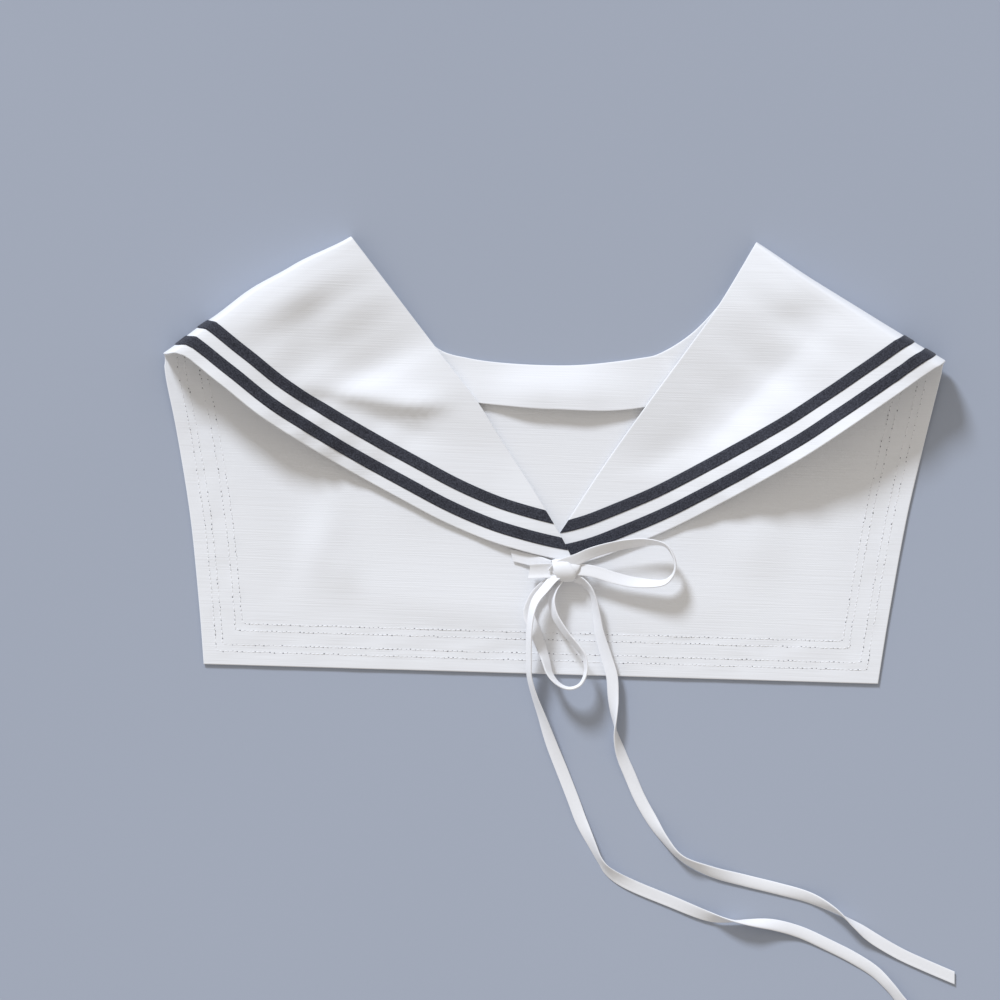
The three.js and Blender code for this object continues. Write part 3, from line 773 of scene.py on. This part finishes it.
def makeCloth():
    middle = np.array([rib.at(clothPlaces(rib)) for rib in ribs])
    out = outOf(middle)
    half = roundedWall(middle, collar["wall"] / 2)
    piece = slab("collarCloth", middle + out * half, middle - out * half, finishes["cotton"])
    cells = np.cross(np.diff(middle, axis=0)[:, :-1], np.diff(middle, axis=1)[:-1])
    return piece, np.linalg.norm(cells, axis=-1).sum()


cloth, clothArea = makeCloth()
print("cloth ready, area in mm2:", round(clothArea))


def gridOn(ribList, inward, most):
    # Points on the cloth's middle at fixed distances in from the outer edge, a row for each rib
    return np.array([rib.at(np.minimum(rib.placeAt(inward), most)) for rib in ribList])


ribbon = {
    "across": [0, 0.02, 0.06, 0.16, 0.3, 0.5, 0.7, 0.84, 0.94, 0.98, 1],
    "sunk": 0.08,
    "most": 0.992,  # last share of a rib at which a ribbon lies
    "endRibs": 9,
    "endReach": 0.97,
    "crown": 8,  # power of the rounding across
    "edgeWall": 0.45,  # share of the wall that is left at the edges
}


def ribbonRibs(inward):
    far = collar["ribbonWidth"]

    def wayOf(side, distance):
        low, high = 0.0, 1.0
        for _ in range(16):
            mid = (low + high) / 2
            if frontRibAt(side, mid).placeAt(distance)[0] > ribbon["most"]:
                low = mid
            else:
                high = mid
        return high

    def endsOf(side):
        start, end = wayOf(side, inward + far / 20), wayOf(side, inward + far)
        shares = np.linspace(0, ribbon["endReach"], ribbon["endRibs"])
        return [frontRibAt(side, way) for way in lerp(start, end, shares)]

    whole = [rib for rib in ribs if rib.placeAt(inward + far)[0] < ribbon["most"]]
    return [*endsOf("left"), *whole, *endsOf("right")[::-1]]


def makeRibbon(name, inward):
    distances = inward + collar["ribbonWidth"] * np.array(ribbon["across"])
    ribList = ribbonRibs(inward)
    middle = gridOn(ribList, distances, ribbon["most"])
    out = outOf(gridOn(ribList, distances, 0.999))
    crown = np.sqrt(np.clip(1 - (2 * np.array(ribbon["across"]) - 1) ** ribbon["crown"], 0, 1))
    inner = collar["wall"] / 2 - ribbon["sunk"]
    wall = collar["ribbonWall"] * lerp(ribbon["edgeWall"], 1, crown)
    thick = (wall + ribbon["sunk"])[None, :, None]
    top, bottom = middle + out * (inner + thick), middle + out * inner
    return slab(name, top, bottom, finishes["ribbon"], 60.0)


ribbonStarts = (collar["ribbonMargin"], collar["ribbonMargin"] + collar["ribbonWidth"] + collar["ribbonGap"])
outerRibbon = makeRibbon("outerRibbon", ribbonStarts[0])
innerRibbon = makeRibbon("innerRibbon", ribbonStarts[1])
print("ribbons ready")


facing = {
    "along": 170,
    "across": [0.0, 0.005, 0.015, 0.04, 0.1, 0.18, 0.27, 0.36, 0.45, 0.54, 0.63, 0.72, 0.8, 0.87, 0.93, 0.965,
               0.985, 0.995, 1.0],
    "wall": 0.7,
    "seat": 0.02,
    "start": 0.12,
    "first": 0.004,
    # Where the free edge stands up, in shares of the neck edge, and how it rises towards that edge
    "drape": {"middle": 0.5, "flat": 0.1, "fade": 0.16, "power": 1.6},
    "fall": {"middle": 0.52, "flat": 0.03, "fade": 0.12, "power": 2.4},
    "ridge": {"at": 0.715, "wide": 0.008, "high": 0.7},
    "wave": {"high": 0.25, "turns": 61},
}


def windowAt(shares, place):
    return (1 - smooth((np.abs(shares - place["middle"]) - place["flat"]) / place["fade"]))[:, None]


def makeFacing():
    shares = np.linspace(facing["start"], 1 - facing["start"], facing["along"])
    edge = neckCurve.at(shares)
    tangent = neckCurve.at(shares + 0.002) - neckCurve.at(shares - 0.002)
    tangent /= np.linalg.norm(tangent, axis=-1, keepdims=True)
    wide = collar["facingWidth"] * column(facingRows, 1, shares)
    inward = np.stack([tangent[:, 1], -tangent[:, 0]], axis=-1) * wide[:, None]
    t = lerp(facing["first"], 1, np.array(facing["across"]))
    plan = edge[:, None] + inward[:, None] * t[None, :, None]
    drape, fall, ridge, wave = (facing[name] for name in ("drape", "fall", "ridge", "wave"))
    window = windowAt(shares, drape)
    free = collar["facingDrape"] * t[None] ** drape["power"] * window
    rise = 1 - (1 - t[None]) ** fall["power"]
    free = free + collar["facingFall"] * rise * windowAt(shares, fall)
    onRidge = np.exp(-((shares - ridge["at"]) / ridge["wide"]) ** 2)[:, None]
    crease = ridge["high"] * onRidge * smooth(2 * t)[None]
    ripple = wave["high"] * np.sin(shares * wave["turns"])[:, None] * t[None] * window
    z = backHeight(plan) + collar["wall"] / 2 + facing["seat"] + free + crease + ripple
    bottom = np.concatenate([plan, z[..., None]], axis=-1)
    middle = bottom + np.array([0, 0, facing["wall"] / 2])
    half = roundedWall(middle, facing["wall"] / 2)
    lift = np.concatenate([np.zeros_like(half), np.zeros_like(half), half], axis=-1)
    return slab("neckFacing", middle - lift, middle + lift, finishes["facing"])


neckFacing = makeFacing()
print("facing ready")


# Stitches: one is modelled and then copied along each row into one mesh
def stitchShape(size, rings=4):
    bpy.ops.object.select_all(action="DESELECT")
    bpy.ops.mesh.primitive_uv_sphere_add(segments=6, ring_count=rings, radius=0.5)
    shape = bpy.context.object
    bpy.ops.object.mode_set(mode="EDIT")
    bpy.ops.mesh.select_all(action="SELECT")
    bpy.ops.transform.rotate(value=math.pi / 2, orient_axis="Y", center_override=(0, 0, 0))
    bpy.ops.transform.resize(value=size)
    bpy.ops.object.mode_set(mode="OBJECT")
    points = np.array([v.co for v in shape.data.vertices])
    faces = [list(p.vertices) for p in shape.data.polygons]
    bpy.data.objects.remove(shape)
    return points, faces


def copiesAlong(name, shape, places, material):
    points, faces = shape
    allPoints, allFaces = [], []
    for k, (origin, tangent, normal) in enumerate(places):
        level = np.cross(normal, tangent)
        allPoints.append(origin + points @ np.array([tangent, level, normal]))
        allFaces += [[v + k * len(points) for v in face] for face in faces]
    return makeMesh(name, np.concatenate(allPoints), allFaces, material, 80.0)


def rowPlaces(ribList, inward, outward, pitch, jitter):
    # Places every pitch along a row at one distance in from the edge
    beside, near = stitching["beside"], stitching["near"]
    ribList = [rib for rib in ribList if rib.placeAt(inward + beside)[0] < stitching["most"]]
    grid = gridOn(ribList, np.array([inward - beside, inward, inward + beside]), 0.999)
    out = outOf(grid)[:, 1]
    line = grid[:, 1] + out * outward
    arc = arcOf(line)
    found = []
    where = pitch / 2
    while where < arc[-1]:
        place = where + random.uniform(-jitter, jitter)
        normal = readAt(place, arc, out) * (1 if outward > 0 else -1)
        tangent = readAt(place + near, arc, line) - readAt(place - near, arc, line)
        tangent /= max(np.linalg.norm(tangent), 1e-9)
        normal -= tangent * (normal @ tangent)
        normal /= max(np.linalg.norm(normal), 1e-9)
        found.append((readAt(place, arc, line), tangent, normal))
        where += pitch
    return found


stitching = {
    "rows": [6.75, 10.25, 17.25, 20.75],  # rows on the inner face of the back panel
    "pitch": 2.3,
    "jitter": 0.12,
    "thread": (1.75, 0.5, 0.36),
    "dot": (0.62, 0.42, 0.28),
    "dotShare": 0.72,  # of the gaps between two stitches that show a dark dot
    "dotGrowth": (0.5, 1.5),
    "stray": 0.3,
    "ribbonInset": 0.95,
    "ribbonPitch": 2.75,
    "ribbonJitter": 0.08,
    "needle": (2.1, 0.34, 0.22),
    "beside": 0.5,  # how far off a row's way out and its direction are measured
    "near": 0.4,
    "most": 0.985,  # last share of a rib at which a stitch lies
}
backRibs = [rib for rib in ribs if rib.back]
random.seed(11)


def makeStitches():
    threads, dots = [], []
    pitch, stray = stitching["pitch"], stitching["stray"]
    for inward in stitching["rows"]:
        places = rowPlaces(backRibs, inward, -collar["wall"] / 2, pitch, stitching["jitter"])
        threads += places
        for origin, tangent, normal in places:
            if random.random() < stitching["dotShare"]:
                size = random.uniform(*stitching["dotGrowth"])
                aside = np.cross(normal, tangent) * random.uniform(-1, 1) * stray
                ahead = tangent * (pitch / 2 + random.uniform(-1, 1) * stray)
                dots.append((origin + ahead + aside, tangent * size, normal))
    return (copiesAlong("bobbinStitches", stitchShape(stitching["thread"]), threads, finishes["whiteThread"]),
            copiesAlong("needleDots", stitchShape(stitching["dot"]), dots, finishes["navyThread"]))


bobbinStitches, needleDots = makeStitches()


def makeRibbonStitches():
    places = []
    top = collar["wall"] / 2 + collar["ribbonWall"]
    for start in ribbonStarts:
        for inset in (stitching["ribbonInset"], collar["ribbonWidth"] - stitching["ribbonInset"]):
            places += rowPlaces(ribs, start + inset, top, stitching["ribbonPitch"], stitching["ribbonJitter"])
    shape = stitchShape(stitching["needle"], rings=3)
    return copiesAlong("ribbonStitches", shape, places, finishes["navyStitch"])


ribbonStitches = makeRibbonStitches()
print("stitches ready")


# The tie: flat strips of folded cotton along routes x, y, z and lean, in millimetres and degrees
tie = {
    "width": 6.0,
    "wall": 1.05,
    "step": 1.1,
    "around": 18,
    "round": (0.55, 0.7),  # powers of the section across and up
    "groove": {"at": 0.3, "wide": 0.07, "deep": 0.16},
    "slantReach": 4.0,
}

longTailRoute = [
    (9.2, 50.6, 7.6, 50), (5.4, 48.2, 8.6, 45), (1, 42.8, 10.2, 45), (-3.4, 36.8, 12.2, 50),
    (-5.4, 29.8, 13.6, 60), (-6.1, 20.2, 13, 65), (-5.8, 6.8, 10.2, 66), (-5.2, -1.5, 8.4, 68),
    (-2.6, -10.3, 6.4, 66), (1.6, -20.9, 4.4, 52), (7.1, -35.2, 2.2, 22), (13, -48.8, 1.0, 6),
    (18.8, -62.4, 0.8, 2), (22.9, -72.3, 1.1, 12), (28.7, -83.6, 2.2, 48), (33.6, -92.5, 2.6, 64),
    (39.2, -98.5, 1.8, 38), (50.1, -104.2, 0.9, 8), (70.1, -111.6, 1.0, 6), (86.6, -117.5, 2.4, 30),
    (97.5, -119.6, 4.0, 72), (108.4, -120.2, 4.4, 118), (121.4, -121.2, 2.9, 160),
    (134.6, -124.5, 1.2, 174), (147.8, -130, 0.8, 180), (161, -136.1, 0.8, 182),
    (172.1, -142.7, 1.2, 196), (180, -150.1, 2.0, 214), (185.6, -156.6, 2.0, 216),
    (195.9, -168.8, 1.2, 196),
]
shortTailRoute = [
    (13.6, 50.2, 6.4, 40), (16.2, 48.6, 6.2, 46), (20.2, 46.6, 6.4, 58), (23.6, 43.2, 6.8, 68),
    (25.8, 38, 6.2, 66), (27.3, 30.8, 5.4, 56), (29, 21.6, 4.8, 40), (32.8, 10, 4.4, 22),
    (35.9, 0.2, 4.6, 14), (36.9, -9.7, 4.4, 24), (38, -21.1, 4.0, 70), (39.1, -29.5, 3.4, 112),
    (42.5, -40, 1.6, 158), (46.7, -49.2, 0.9, 174), (51.6, -59.7, 0.8, 180), (57.3, -69.4, 1.2, 194),
    (64.6, -80, 2.6, 232), (74.1, -89.7, 3.6, 244), (89.1, -95.8, 2.4, 208), (105.4, -99.5, 1.2, 184),
    (123, -103.2, 1.0, 184), (138.3, -107, 1.8, 206), (151.5, -113.1, 3.6, 248),
    (161.5, -119.8, 3.4, 300), (171.5, -126.5, 1.6, 346), (184.8, -133.6, 0.8, 358),
    (198, -139.1, 0.8, 360), (212.3, -144.6, 0.8, 360),
]
sideLoopRoute = [
    (4.4, 51.2, 7.6, 30), (6.6, 53.8, 8.8, 24), (10.4, 55.8, 9.6, 16), (15.4, 57.6, 10.0, 14),
    (24.1, 61.8, 9.4, 25), (35.6, 65.4, 9.6, 35), (47.2, 67.6, 10, 50), (55.5, 67.8, 10.2, 68),
    (60.8, 66.2, 10.3, 80), (64.2, 61.5, 10.4, 86), (65.6, 56, 10.4, 86), (64, 51, 10.2, 80),
    (58.7, 47.4, 9.8, 60), (45.6, 47.4, 8.4, 30), (34.3, 49.6, 8.2, 14), (24.8, 52.2, 8.2, 10),
    (17.6, 52.9, 8.4, 10), (13, 52.6, 8, 10),
]
hangingLoopRoute = [
    (9.4, 49.4, 5.6, 60), (7.6, 46, 6.4, 60), (5.4, 41.6, 7.8, 60), (4.6, 36.2, 8.8, 60),
    (6.4, 29.7, 9.7, 60), (9.4, 24.8, 10.2, 60), (13.4, 19.5, 10.6, 62), (17.9, 14.6, 11, 64),
    (21.8, 9.3, 11.4, 70), (22.8, 2.3, 11.6, 76), (20.4, -4.1, 11.6, 80), (15.1, -6.6, 11.4, 80),
    (9.4, -4.8, 11, 75), (4.6, 0.4, 10, 62), (2, 8, 8.4, 46), (-2.6, 19.6, 6.2, 24),
    (-6.6, 29, 5.4, 18), (-5.4, 35.6, 5.0, 15), (-2.2, 41, 5.0, 15), (2.0, 44.8, 5.2, 15),
    (6.8, 48, 5.6, 15),
]
anchorRoute = [
    (-16.4, 58.9, 1.9, 0), (-13, 58.3, 2.0, 0), (-8, 57.2, 2.4, 0), (-2.6, 55.9, 3.4, 4),
    (3.4, 54.0, 4.6, 8), (8, 52.8, 5.4, 8),
]
stubRoute = [
    (-7.2, 51.2, 6.2, 4), (-4, 51.5, 6.7, 6), (0, 51.8, 7.0, 6), (4.4, 52, 7.2, 6), (8.4, 52.2, 7, 6),
]


def strapSection():
    turn = np.linspace(0, 2 * math.pi, tie["around"], endpoint=False)
    c, s = np.cos(turn), np.sin(turn)
    flat, rise = tie["round"]
    across = 0.5 * np.sign(c) * np.abs(c) ** flat
    high = 0.5 * np.sign(s) * np.abs(s) ** rise
    groove = tie["groove"]
    dip = groove["deep"] * 2 * np.exp(-((across - groove["at"]) / groove["wide"]) ** 2)
    return across, high * (1 - dip)


def makeStrap(name, route, slants=(0.0, 0.0), wall=tie["wall"], curl=0.25, spread=1.0):
    # Slants are those of the two ends; curl lifts the edges and spread widens the strip
    route = np.array(route, float)
    count = max(int(Line(route[:, :3]).length / tie["step"]), 6)
    places = catmull(route, samples["tie"])
    arc = arcOf(places[:, :3])
    where = np.linspace(0, arc[-1], count + 1)
    centre = readAt(where, arc, places[:, :3])
    lean = np.radians(np.interp(where, arc, places[:, 3]))
    tangent = np.gradient(centre, axis=0)
    tangent /= np.linalg.norm(tangent, axis=-1, keepdims=True)
    level = np.cross(tangent, np.array([0.0, 0.0, 1.0]))
    level /= np.linalg.norm(level, axis=-1, keepdims=True)
    wide = level * np.cos(lean)[:, None] + np.cross(tangent, level) * np.sin(lean)[:, None]
    face = np.cross(wide, tangent)
    across, high = strapSection()
    across = across * spread
    lift = high * wall + curl * ((2 * across / spread) ** 2 - 0.3)
    ring = (centre[:, None] + wide[:, None] * (across * tie["width"])[None, :, None]
            + face[:, None] * lift[None, :, None])
    for slant, off in zip(slants, (where, where[-1] - where)):
        near = smooth((tie["slantReach"] - off) / tie["slantReach"])
        ring = ring + tangent[:, None] * (near[:, None] * across[None] * tie["width"] * slant)[..., None]
    around = len(across)
    faces = []
    for i in range(count):
        for j in range(around):
            a, b = i * around + j, i * around + (j + 1) % around
            faces.append((a, a + around, b + around, b))
    faces.append(tuple(range(around)))
    faces.append(tuple(range(count * around, (count + 1) * around))[::-1])
    u = np.repeat(where, around) * mm
    v = np.tile(np.linspace(0, 2 * tie["width"], around), count + 1) * mm
    piece = makeMesh(name, ring.reshape(-1, 3), faces, finishes["tape"], 45.0, uv=np.stack([u, v], axis=-1))
    return piece, toRow(centre), arc[-1] * mm


tailLong, tailLongPath, tailLongLength = makeStrap("tailLong", longTailRoute)
tailShort, tailShortPath, tailShortLength = makeStrap("tailShort", shortTailRoute, slants=(0.0, 0.42))
sideLoop, sideLoopPath, sideLoopLength = makeStrap("bowSideLoop", sideLoopRoute)
hangingLoop, hangingLoopPath, hangingLoopLength = makeStrap("bowHangingLoop", hangingLoopRoute)
anchor = makeStrap("tieAnchor", anchorRoute, slants=(0.5, 0.0))[0]
stub = makeStrap("bowStub", stubRoute, slants=(-0.25, 0.0), wall=1.5, curl=1.3, spread=1.2)[0]
tieLengths = (tailLongLength, tailShortLength, sideLoopLength, hangingLoopLength)
print("tie ready, lengths in m:", [round(length, 3) for length in tieLengths])


knot = {
    "centre": (10.4, 52.2, 7.0),
    "core": (13.4, 8.4, 6.6),
    # x of the middle, tilt, half height of the turn in y and z, width of the strip
    "wraps": [(9.4, -1.8, 5.1, 4.5, 9.6), (14.2, 1.4, 4.3, 3.3, 6.6)],
    "around": 64,
    "section": 16,
    "thick": 1.5,
    "dome": 0.5,  # how far the turn's edges draw in
    "creases": 0.16,
    "pinch": 0.12,
}


def makeWrap(k, x, tilt, ry, rz, wide):
    cy, cz = knot["centre"][1:]
    turn = np.linspace(0, 2 * math.pi, knot["around"], endpoint=False)
    section = np.linspace(0, 2 * math.pi, knot["section"], endpoint=False)
    along = 0.5 * np.sign(np.cos(section)) * np.abs(np.cos(section)) ** 0.6 * wide
    high = 0.5 * np.sin(section) * knot["thick"]
    points = []
    for a in turn:
        out = np.array([0.0, math.cos(a), math.sin(a)])
        centre = np.array([x + tilt * math.cos(a + 0.5), cy + ry * math.cos(a), cz + rz * math.sin(a)])
        pinch = 1 - knot["pinch"] * math.cos(2 * a + k)
        for s, h in zip(along, high):
            edge = (2 * s / wide) ** 2
            crease = knot["creases"] * math.sin(s * 2.3 + 0.6 * math.sin(a * 2 + k))
            points.append(centre + np.array([s * pinch, 0, 0])
                          + out * (h * (1 - 0.3 * edge) - knot["dome"] * edge ** 1.5 + crease))
    around, rings = len(section), len(turn)
    faces = []
    for i in range(rings):
        this, following = i * around, (i + 1) % rings * around
        for j in range(around):
            side = (j + 1) % around
            faces.append((this + j, this + side, following + side, following + j))
    u = np.repeat(turn * 4.0, around) * mm
    v = np.tile(np.linspace(0, 2 * wide, around), rings) * mm
    uv = np.stack([u, v], axis=-1)
    return makeMesh("bowWrap%d" % (k + 1), points, faces, finishes["tape"], 60.0, uv=uv)


def makeKnot():
    bpy.ops.object.select_all(action="DESELECT")
    bpy.ops.mesh.primitive_uv_sphere_add(segments=40, ring_count=24, radius=0.5)
    core = bpy.context.object
    bpy.ops.object.mode_set(mode="EDIT")
    bpy.ops.mesh.select_all(action="SELECT")
    bpy.ops.transform.resize(value=[v * mm for v in knot["core"]])
    bpy.ops.transform.translate(value=toRow([knot["centre"]])[0].tolist())
    bpy.ops.object.mode_set(mode="OBJECT")
    core.name = core.data.name = "bowKnot"
    core.data.materials.append(finishes["tape"])
    core.data.uv_layers[0].name = "cut"
    bpy.ops.object.shade_smooth()
    return [core, *(makeWrap(k, *wrap) for k, wrap in enumerate(knot["wraps"]))]


knotPieces = makeKnot()
for piece in knotPieces:
    pick(piece)
    bpy.ops.object.mode_set(mode="EDIT")
    bpy.ops.mesh.select_all(action="SELECT")
    bpy.ops.mesh.normals_make_consistent(inside=False)
    bpy.ops.object.mode_set(mode="OBJECT")
print("knot ready")


# What rides and what it replaces
slots = {
    "white_cotton": [cloth, bobbinStitches],
    "facing_cotton": [neckFacing],
    "navy_ribbon": [outerRibbon, innerRibbon, ribbonStitches, needleDots],
    "tie_cotton": [tailLong, tailShort, sideLoop, hangingLoop, anchor, stub, *knotPieces],
}
for slotName, members in slots.items():
    for piece in members:
        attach(piece, "root")
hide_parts("collar_cloth")
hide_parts("outer_stripe")
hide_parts("inner_stripe")
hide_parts("neck_facing")
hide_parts("tie_tail_long")
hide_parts("tie_tail_short")
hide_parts("bow_side_loop")
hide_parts("bow_hanging_loop")
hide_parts("tie_anchor")
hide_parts("bow_stub")
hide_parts("bow_knot")


# Floor and light
stageLook = {
    "floor": (0.365, 0.40, 0.475),
    "mottle": (0.96, 1.05),
    "size": 6.0,
    "towards": (-0.40, 0.76, 0.51),  # the sun stands at the top left, about 30 degrees up
    "sun": 3.0,
    "soft": 12.0,
    "sunColour": (0.81, 0.88, 1.0),
    "fill": 0.56,
    "fillColour": (1.0, 0.955, 0.9),
}


def makeStage():
    bpy.ops.mesh.primitive_plane_add(size=stageLook["size"], location=(0, 0, 0))
    floor = bpy.context.object
    floor.name = "floor"
    made = Finish("floorPaint")
    cloud = made.noise((2.2, 2.2, 2.2), 2.0)
    low, high = (tuple(v * share for v in stageLook["floor"]) for share in stageLook["mottle"])
    made.set(Base_Color=made.mixColour(cloud, low, high), Roughness=0.8, Specular_IOR_Level=0.2)
    floor.data.materials.append(made.material)

    towards = Vector(stageLook["towards"])
    bpy.ops.object.light_add(type="SUN", location=towards * 2)
    sun = bpy.context.object
    sun.rotation_euler = towards.to_track_quat("Z", "Y").to_euler()
    sun.data.energy = stageLook["sun"]
    sun.data.angle = math.radians(stageLook["soft"])
    sun.data.color = stageLook["sunColour"]

    world = bpy.context.scene.world or bpy.data.worlds.new("world")
    bpy.context.scene.world = world
    world.use_nodes = True
    background = world.node_tree.nodes["Background"]
    background.inputs["Color"].default_value = (*stageLook["fillColour"], 1.0)
    background.inputs["Strength"].default_value = stageLook["fill"]


makeStage()
bpy.context.scene.view_settings.view_transform = "Standard"
print("stage ready")
